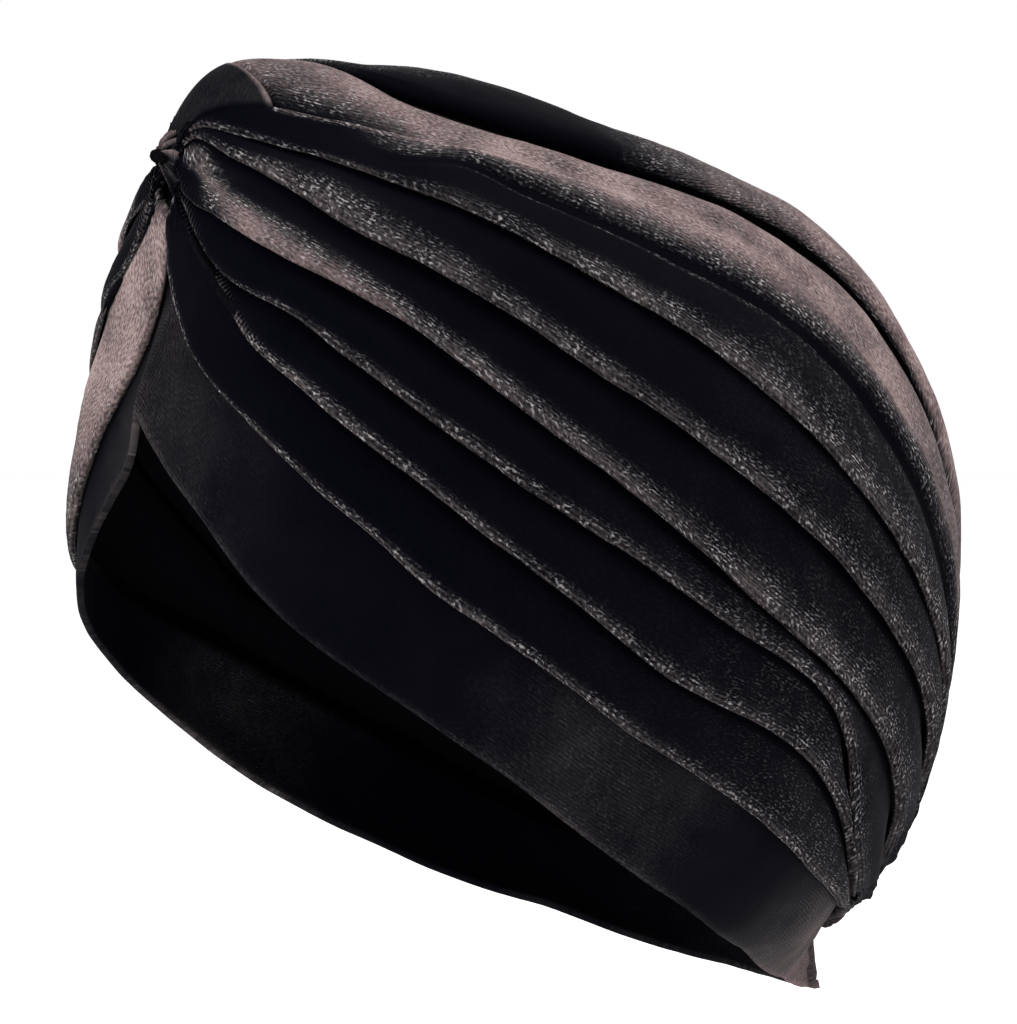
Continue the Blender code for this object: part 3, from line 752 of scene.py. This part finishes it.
def panel(name, folds, side):
    """One crown panel's cloth, on the wearer's left (side 1) or right (side -1)."""
    starts = (SLIT_TOP + END_ROWS, *ROW_STATIONS)
    ends = (*ROW_STATIONS, PANEL_END)
    rows = [SLIT_TOP + END_ROWS * np.linspace(0, 1, ROW_COUNTS[0]) ** 1.5]
    for start, end, count in zip(starts, ends, ROW_COUNTS[1:]):
        rows.append(np.linspace(start, end, count)[1:])
    rows = np.concatenate(rows)
    strips = [pleat_strip(rows, upper, lower) for upper, lower in zip(folds, folds[1:])]
    turn, station, lift, distance, light, from_slit, drawn = (
        np.concatenate(part, axis=1) for part in zip(*strips))
    points = into_nape(lifted(station, turn, lift), rows)
    pleat_number = np.repeat(np.arange(len(strips)), [strip[0].shape[1] for strip in strips])
    across = distance + PLEAT_APART * pleat_number[None, :]
    slit_gathers = SLIT_GATHERS * (1 - ease(from_slit, *SLIT_GATHERS_REACH))
    gather = np.maximum(slit_gathers, ease(station, *NAPE_GATHERS))
    # fewer painted glints towards the nape
    glitter = 1 - NAPE_GLINT_FADE * ease(station, *NAPE_GLINT_FADE_START)
    parts = [points, across, light, gather, drawn, glitter]
    if side < 0:
        parts = [part[:, ::-1] for part in parts]
        parts[0] = parts[0] * np.array([-1.0, 1.0, 1.0])
    return gathered(name, cloth_mesh(name, *parts), PANEL_SIZES, CLOTH_WALL)


def into_nape(points, rows):
    """The cloth's far end, drawn together and in at the nape."""
    pole = shell(NAPE_POLE, 0.0) - SEAT
    pinch = ease(rows, *NAPE_PINCH)[:, None, None]
    drawn = pole + (points - pole) * (1 - NAPE_DRAW * pinch)
    return drawn + np.array(NAPE_WAY) * NAPE_DIMPLE * pinch


velvet_black = velvet("black_velvet")
inner_black = plain_back("inner_black_knit")

left_panel = panel("crown_left_pleats", LEFT_FOLDS, 1)
right_panel = panel("crown_right_pleats", RIGHT_FOLDS, -1)
for piece, node in ((left_panel, "crown_left"), (right_panel, "crown_right")):
    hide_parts(node)
    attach(piece, "root")


# Top fold. One soft, plump roll of the same velvet along the centre line, laid over the upper
# edges of both panels and caught in the seams at its two ends.

ROLL_WALL = 0.0008
ROLL_TUCK = 0.0030
ROLL_LEAD = 5
ROLL_SINK_END = 6
ROLL_SINK = 0.0026
ROLL_LEAST_TURN = 3.0
ROLL_LEAST_LIFT = 0.0012
ROLL_PLUMP = 0.0009
ROLL_FLANK = 0.91
ROLL_COLUMNS = 27
ROLL_ROUNDING = 0.0035
ROLL_STRETCH = 1.3
ROLL_TURNED_FLANK = 0.92
ROLL_ANGLES = (20, 45, 70, 95, 125, 155, 180)
ROLL_LAST_TURN = 0.3
ROLL_CREASE = 0.0014
ROLL_CREASE_PLACE = 0.42
ROLL_CREASE_SPREAD = 0.06
ROLL_CREASE_SHADE = 0.75
ROLL_CREASE_START = (52, 74)
ROLL_CREASE_END = (150, 172)
ROLL_SHADE = (0.0012, 0.0035)
ROLL_GLINT_FADE_START = (110, 150)
ROLL_GATHERS = (130, 168)
ROLL_PILE_AND_PAINTED_LIGHT = {
    "station": (20, 32, 48, 60, 72, 90, 120, 150, 175),
    "side": (.20, .10, .04, .08, .42, .76, .70, .50, .25),
    "crest": (.45, .35, .22, .28, .62, .78, .68, .42, .22),
}
ROLL_SIZES = {"Gather height": 0.0007, "Gather spacing": 0.0034,
              "Crumple height": 0.0020, "Crumple size": 0.024}

fold_rows = np.concatenate([np.linspace(TOP_FOLD_START - ROLL_LEAD, ROW_STATIONS[1], 110),
                            np.linspace(ROW_STATIONS[1], PANEL_END, 40)[1:]])
fold_edge, fold_station = fold_at_row("top", fold_rows)
fold_edge = np.maximum(fold_edge, ROLL_LEAST_TURN)
fold_height = np.maximum(fold_lift("top", fold_station), ROLL_LEAST_LIFT)
creased = ease(fold_rows, *ROLL_CREASE_START) * (1 - ease(fold_rows, *ROLL_CREASE_END))
half_columns = []
for share in np.linspace(0.0, ROLL_FLANK, ROLL_COLUMNS):
    off_crease = (share - ROLL_CREASE_PLACE) / ROLL_CREASE_SPREAD
    crease = ROLL_CREASE * creased * np.exp(-off_crease ** 2)
    half_columns.append((fold_edge * share, ROLL_PLUMP * (1 - share ** 2) - crease))
rounding = np.minimum(ROLL_ROUNDING, THICK_SHARE * fold_height)
centre = slide(fold_station, fold_edge, -ROLL_STRETCH * rounding)
for degrees in ROLL_ANGLES:
    angle = np.radians(degrees)
    outer_turn = slide(fold_station, centre, ROLL_STRETCH * rounding * np.sin(angle))
    least_turn = fold_edge * ROLL_TURNED_FLANK if degrees < 90 else 0
    half_columns.append((np.maximum(outer_turn, least_turn), -rounding * (1 - np.cos(angle))))
last_turn = np.maximum(slide(fold_station, fold_edge, -ROLL_TUCK), ROLL_LAST_TURN)
half_columns.append((last_turn, -2 * rounding))
half_turn, half_lift = (np.array(part).T for part in zip(*half_columns))
fold_turns = np.concatenate([-half_turn[:, :0:-1], half_turn], axis=1)
fold_lifts = np.concatenate([half_lift[:, :0:-1], half_lift], axis=1)
fold_stations = warped(fold_rows[:, None], fold_turns)
risen_start = ease(fold_rows, TOP_FOLD_START - ROLL_LEAD, TOP_FOLD_START + ROLL_SINK_END)
sunk = ROLL_SINK * (1 - risen_start)[:, None]
roll = lifted(fold_stations, fold_turns, fold_lifts - sunk)
roll = into_nape(roll, fold_rows)
roll_across = run_length(roll, 1)
across_share = fold_turns / fold_edge[:, None]
crest = np.cos(np.radians(np.clip(across_share * 90, -90, 90))) ** 2
# the roll's pile lightness with its painted sheen on sides and crest; painted shade follows under its
# turned edge and in its crease
roll_light = (follow(fold_stations, ROLL_PILE_AND_PAINTED_LIGHT["station"], ROLL_PILE_AND_PAINTED_LIGHT["side"]) * (1 - crest)
              + follow(fold_stations, ROLL_PILE_AND_PAINTED_LIGHT["station"], ROLL_PILE_AND_PAINTED_LIGHT["crest"]) * crest)
roll_light = roll_light * (1 - ease(-fold_lifts, *ROLL_SHADE))
off_crease = (np.abs(across_share) - ROLL_CREASE_PLACE) / ROLL_CREASE_SPREAD
roll_light = roll_light * (1 - ROLL_CREASE_SHADE * creased[:, None] * np.exp(-off_crease ** 2))
# fewer painted glints on the roll towards the nape
roll_glitter = 1 - NAPE_GLINT_FADE * ease(fold_stations, *ROLL_GLINT_FADE_START)
roll_mesh = cloth_mesh("top_fold_roll", roll, roll_across, roll_light,
                       ease(fold_stations, *ROLL_GATHERS), glitter=roll_glitter)
top_roll = gathered("top_fold_roll", roll_mesh, ROLL_SIZES, ROLL_WALL)
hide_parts("top_fold")
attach(top_roll, "root")


# Front wrap. A smooth facet of velvet pulled up over the forehead from the knot to the top of
# the cap, with a pressed crease where it ends over the first pleats; the crease is a rounded end
# with a painted highlight along it, and the facet's sides carry painted shade.

WRAP_THICKNESS = 0.0009
WRAP_OVERLAP = 0.0020
WRAP_PILE = 0.21
WRAP_CREASE_HIGHLIGHT = 0.72
WRAP_SIDE_SHADE = 0.85
WRAP_SHADED_SIDE = (0.80, 0.97)
WRAP_GLITTER = 0.06
WRAP_FIRST_ROWS = 0.14
WRAP_PROUD = 0.0004
WRAP_SIDE_ROUND = 0.0010
WRAP_ROUNDED_SIDE = (0.90, 1.0)
WRAP_END_ROUND = 0.0011
WRAP_ROUNDED_END = 0.0010
WRAP_CREASE_END = (0.0010, 0.0022)
WRAP_CREASE_RISE = 0.0004
WRAP_CREASE_SIDE = (0.93, 0.99)
WRAP_GATHERS = (0.002, 0.010)
WRAP_SIZES = {"Gather height": 0.0003, "Gather spacing": 0.0016,
              "Crumple height": 0.0006, "Crumple size": 0.020}

wrap_shares = np.concatenate([WRAP_FIRST_ROWS * np.linspace(0, 1, 9) ** 1.5,
                              np.linspace(WRAP_FIRST_ROWS, 1, 44)[1:]])
wrap_rows = SLIT_TOP + (WRAP_END - SLIT_TOP) * wrap_shares
wrap_edge, edge_station = fold_at_row("shelf", wrap_rows)
wrap_edge = slide(edge_station, wrap_edge, WRAP_OVERLAP)
wrap_across = np.sin(np.linspace(-1, 1, 81) * np.pi / 2)
wrap_turn = wrap_edge[:, None] * wrap_across[None, :]
wrap_stations = warped(wrap_rows[:, None], wrap_turn)
wrap_flat = lifted(wrap_stations, wrap_turn, 0 * wrap_turn)
wrap_along = run_length(wrap_flat, 0)
to_end = wrap_along[-1:] - wrap_along
to_side = np.abs(wrap_across)[None, :]
side_round = WRAP_SIDE_ROUND * ease(to_side, *WRAP_ROUNDED_SIDE)
end_round = WRAP_END_ROUND * (1 - ease(to_end, 0.0, WRAP_ROUNDED_END))
start_roll = END_ROLL * (1 - np.sqrt(1 - np.clip(1 - wrap_along / END_ROLL, 0, 1) ** 2))
wrap_lift = WRAP_PROUD - side_round - end_round - END_ROLL_DEPTH * start_roll
wrap_points = lifted(wrap_stations, wrap_turn, wrap_lift)
# painted highlight along the crease at the facet's end
crease = (1 - ease(to_end, *WRAP_CREASE_END)) * ease(to_end, 0.0, WRAP_CREASE_RISE)
crease = crease * (1 - ease(to_side, *WRAP_CREASE_SIDE))
wrap_light = WRAP_PILE + (WRAP_CREASE_HIGHLIGHT - WRAP_PILE) * crease
wrap_light = wrap_light * (1 - WRAP_SIDE_SHADE * ease(to_side, *WRAP_SHADED_SIDE))
wrap_side = run_length(wrap_points, 1)
wrap_mesh = cloth_mesh("front_wrap_facet", wrap_points, wrap_side, wrap_light,
                       1 - ease(wrap_along, *WRAP_GATHERS), glitter=WRAP_GLITTER)
front_wrap = gathered("front_wrap_facet", wrap_mesh, WRAP_SIZES, WRAP_THICKNESS)
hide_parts("front_wrap")
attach(front_wrap, "root")


# Knot. A short twist of the cloth that binds the ends of all the pleats at the forehead, drawn
# together so tightly that it is all small wrinkles.

KNOT_BULGE = 0.0022
KNOT_RECESS = 0.0046
KNOT_END = (80, 125)
KNOT_SPREAD = 0.5
KNOT_RISE = 1.3
KNOT_SLIT_SPREAD = 1.5
KNOT_WALL = 0.0012
KNOT_WRINKLES = 13
KNOT_WRINKLE = 0.0005
KNOT_TWIST = 3
KNOT_FLATNESS = 0.95
KNOT_EDGE_SINK = 0.0014
KNOT_SLIT_START = (0.10, 0.70)
KNOT_WRINKLE_START = (0.05, 0.5)
KNOT_PILE = 0.42
KNOT_WRINKLE_SHADING = 0.26
KNOT_GLITTER = 0.5
KNOT_SIZES = {"Gather height": 0.0, "Gather spacing": 0.002,
              "Crumple height": 0.0004, "Crumple size": 0.006}


def close_up(mesh):
    """Merges the points where a mesh meets itself, at its centre and along its seam."""
    shape = bmesh.new()
    shape.from_mesh(mesh)
    bmesh.ops.remove_doubles(shape, verts=shape.verts, dist=1e-6)
    shape.to_mesh(mesh)
    shape.free()


knot_turns = np.linspace(-180, 180, 181)
in_slit = ease(np.abs(knot_turns), *KNOT_END)[None, :]
above_slit = KNOT_RISE * (1 - in_slit) * (1 + np.cos(np.radians(knot_turns))[None, :]) / 2
knot_rim = SLIT_TOP + slit_shift(knot_turns)[None, :] + KNOT_SPREAD + above_slit
knot_rim = knot_rim + KNOT_SLIT_SPREAD * in_slit
knot_shares = np.linspace(0.0, 1.0, 25)[:, None]
knot_station = knot_rim * knot_shares
knot_turn = np.broadcast_to(knot_turns, knot_station.shape)
into_slit = in_slit * ease(knot_shares, *KNOT_SLIT_START)
dome = KNOT_BULGE * np.sqrt(1 - KNOT_FLATNESS * knot_shares ** 2) - KNOT_EDGE_SINK * knot_shares ** 4
dome = dome * (1 - into_slit) - KNOT_RECESS * into_slit
twist = np.cos(np.radians(knot_turn) * KNOT_WRINKLES + KNOT_TWIST * knot_shares)
wrinkled = twist * ease(knot_shares, *KNOT_WRINKLE_START)
knot_lift = dome + KNOT_WRINKLE * wrinkled * (1 - into_slit)
pole_way = np.array([0.0, *(-axis_frame()[1])])
knot_points = shell(knot_station, knot_turn) - SEAT + pole_way * knot_lift[..., None]
# painted light and shade on the wrinkles: lighter on their raised crests, darker in their hollows
knot_light = (KNOT_PILE + KNOT_WRINKLE_SHADING * wrinkled) * (1 - into_slit)
knot_side = run_length(knot_points, 1)
knot_mesh = cloth_mesh("knot_twist", knot_points, knot_side, knot_light, 0 * knot_turn,
                       glitter=KNOT_GLITTER)
close_up(knot_mesh)
knot = gathered("knot_twist", knot_mesh, KNOT_SIZES, KNOT_WALL)
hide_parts("knot")
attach(knot, "root")


# Head band. A smooth doubled strip of velvet that holds the cap to the head, sewn up under the
# hem folds, rising to a point at the forehead and drawn down to a short tail at the nape.

BAND_INSET = 0.0026
RIM_INSET = 0.0010
PEAK_FLARE = 0.0060
NAPE_TAIL = 0.0235
TAIL_CURVE = 1.3
TAIL_LEAN = 0.13
BAND_WALL = 0.0016
BAND_DOWN = (-0.12, 0.0, 0.12, 0.25, 0.38, 0.50, 0.62, 0.74, 0.85, 0.93, 0.97, 1.0)
BAND_RIM_HIGHLIGHT = 0.14
BAND_RIM_HIGHLIGHT_REACH = 0.05
BAND_GATHERS = (0.74, 0.95)
BAND_GLITTER = 0.10
BAND_SIZES = {"Gather height": 0.0003, "Gather spacing": 0.0060,
              "Crumple height": 0.0016, "Crumple size": 0.026}
# band lightness by share round the ring: the pile row holds painted sheen in patches, and the last row
# scales the far half down with painted shade
BAND = {
    "top_station": (31, 33, 37, 43, 52, 64, 78, 92, 106, 120, 134, 146, 157, 166, 172),
    "rim_station": (43, 45, 48, 53, 60, 70, 80, 92, 106, 120, 134, 147, 159, 170, 180),
    "rim_turn": (180, 177, 171, 158, 147, 138, 134, 132, 132, 134, 140, 149, 160, 171, 180),
    "flare": (1.00, 0.75, 0.35, 0.05, 0, 0, 0, 0, 0, 0, 0, 0, 0, 0, 0),
    "tail": (0, 0, 0, 0, 0, 0, 0, 0, 0, 0, 0, 0.20, 0.45, 0.75, 1.00),
    "pile": (.26, .24, .20, .14, .08, .07, .12, .22, .16, .08, .22, .42, .52, .54, .52),
    "far side shade": (1, 1, 1, 1, 1, 1, 1, 1, .8, .6, .4, .3, .3, .5, 1),
}

band_share = np.linspace(0, 1, 150)
band_spread = np.linspace(0, 1, len(BAND["top_station"]))
band = {name: follow(band_share, band_spread, values) for name, values in BAND.items()}
rim_turn = np.minimum(band["rim_turn"], 180)
rim_turn[[0, -1]] = 180
down = np.array(BAND_DOWN)[None, :]
below_top = np.clip(down, 0, 1)
band_depth = band["rim_station"] - band["top_station"]
band_station = band["top_station"][:, None] + band_depth[:, None] * down
inset = BAND_INSET + (RIM_INSET - BAND_INSET) * below_top
proud = PEAK_FLARE * band["flare"][:, None] * below_top - inset
tail_way = np.array([0, -TAIL_LEAN, -np.sqrt(1 - TAIL_LEAN ** 2)])
tail_drop = NAPE_TAIL * np.clip(band["tail"], 0, 1)[:, None] * below_top ** TAIL_CURVE
hang = tail_way * tail_drop[..., None]


def half_band(hem):
    """Points of the band on the wearer's left, hung from one of the two hems."""
    top_turn = fold_turn(hem, band["top_station"])
    top_turn[[0, -1]] = 180
    turns = top_turn[:, None] + (rim_turn - top_turn)[:, None] * down
    points = lifted(band_station, turns, proud) + hang
    points[[0, -1], :, 0] = 0
    return points


left_band = half_band("hem")
right_band = half_band("right hem")[-2:0:-1] * np.array([-1.0, 1.0, 1.0])
ring = np.concatenate([left_band, right_band])
# painted highlight along the band's rim
rim_highlight = BAND_RIM_HIGHLIGHT * np.exp(-((1 - down) / BAND_RIM_HIGHLIGHT_REACH) ** 2)
left_light = band["pile"][:, None] + rim_highlight
right_light = left_light * band["far side shade"][:, None]
ring_light = np.concatenate([left_light, right_light[-2:0:-1]])
tail_gather = np.broadcast_to(ease(band_share, *BAND_GATHERS)[:, None], left_light.shape)
ring_gather = np.concatenate([tail_gather, tail_gather[-2:0:-1]])
left_across = run_length(left_band, 1)
ring_across = np.concatenate([left_across, left_across[-2:0:-1]])
band_mesh = cloth_mesh("head_band_strip", ring, ring_across, ring_light, ring_gather,
                       glitter=BAND_GLITTER, closed=True)
head_band = gathered("head_band_strip", band_mesh, BAND_SIZES, BAND_WALL, doubled=True)
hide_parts("head_band")
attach(head_band, "root")


# Floor, light and camera. A plain pale floor, a pale room, one soft light from the wearer's
# front and one from above, and the camera at the photograph's angle and framing.

CAMERA_AZIMUTH = 56.4
CAMERA_HEIGHT = 3.1
CAMERA_DISTANCE = 1.0
CAMERA_LENS = 160.66
SENSOR_WIDTH = 36.0
FLOOR_Z = -0.25
FLOOR_RADIUS = 4
FLOOR_CORNERS = 96
FLOOR_COLOUR = (0.97, 0.97, 0.97, 1)
ROOM_COLOUR = (1.0, 1.0, 1.0, 1)
LIGHT_SIZE = 1.0
LIGHT_COLOUR = (1.0, 0.96, 0.94)
LIGHTS = (
    # name, place, power
    ("front_light", (-0.5, -1.5, 0.7), 16.0),
    ("top_light", (0.1, 0.35, 1.5), 20.0),
)

floor_mesh = bpy.data.meshes.new("floor")
floor_corners = []
for angle in np.linspace(0, 2 * np.pi, FLOOR_CORNERS + 1)[:-1]:
    floor_corners.append((FLOOR_RADIUS * np.cos(angle), FLOOR_RADIUS * np.sin(angle), FLOOR_Z))
floor_mesh.from_pydata(floor_corners, [], [tuple(range(FLOOR_CORNERS))])
floor = bpy.data.objects.new("floor", floor_mesh)
bpy.context.scene.collection.objects.link(floor)
pale = bpy.data.materials.new("pale_floor")
pale.use_nodes = True
pale_shader = pale.node_tree.nodes["Principled BSDF"]
pale_shader.inputs["Base Color"].default_value = FLOOR_COLOUR
pale_shader.inputs["Roughness"].default_value = 0.95
floor_mesh.materials.append(pale)

world = bpy.data.worlds.new("pale_room")
world.use_nodes = True
room = world.node_tree.nodes["Background"]
room.inputs["Color"].default_value = ROOM_COLOUR
room.inputs["Strength"].default_value = 1.0
bpy.context.scene.world = world


def set_frame(item, right, up, back, place):
    """Stands a light or camera at a place, with its own axes."""
    item.matrix_world = Matrix([[right[0], up[0], back[0], place[0]],
                                [right[1], up[1], back[1], place[1]],
                                [right[2], up[2], back[2], place[2]],
                                [0, 0, 0, 1]])


def soft_light(name, place, power, target):
    """One square soft light at place, turned to the target."""
    data = bpy.data.lights.new(name, "AREA")
    data.size = LIGHT_SIZE
    data.energy = power
    data.color = LIGHT_COLOUR
    lamp = bpy.data.objects.new(name, data)
    back = np.array(place) - np.array(target)
    back = back / np.linalg.norm(back)
    side = np.cross([0.0, 0.0, 1.0], back)
    side = side / np.linalg.norm(side)
    set_frame(lamp, side, np.cross(back, side), back, place)
    bpy.context.scene.collection.objects.link(lamp)


cap_centre = -SEAT
for name, place, power in LIGHTS:
    soft_light(name, place, power, cap_centre)

azimuth = np.radians(CAMERA_AZIMUTH)
height = np.radians(CAMERA_HEIGHT)
back = np.array([np.sin(azimuth) * np.cos(height), -np.cos(azimuth) * np.cos(height), np.sin(height)])
right = np.array([np.cos(azimuth), np.sin(azimuth), 0.0])
up = np.cross(back, right)
lens = bpy.data.cameras.new("camera")
lens.lens = CAMERA_LENS
lens.sensor_width = SENSOR_WIDTH
camera = bpy.data.objects.new("camera", lens)
set_frame(camera, right, up, back, cap_centre + back * CAMERA_DISTANCE)
bpy.context.scene.collection.objects.link(camera)
bpy.context.scene.camera = camera
bpy.context.scene.view_settings.view_transform = "Standard"
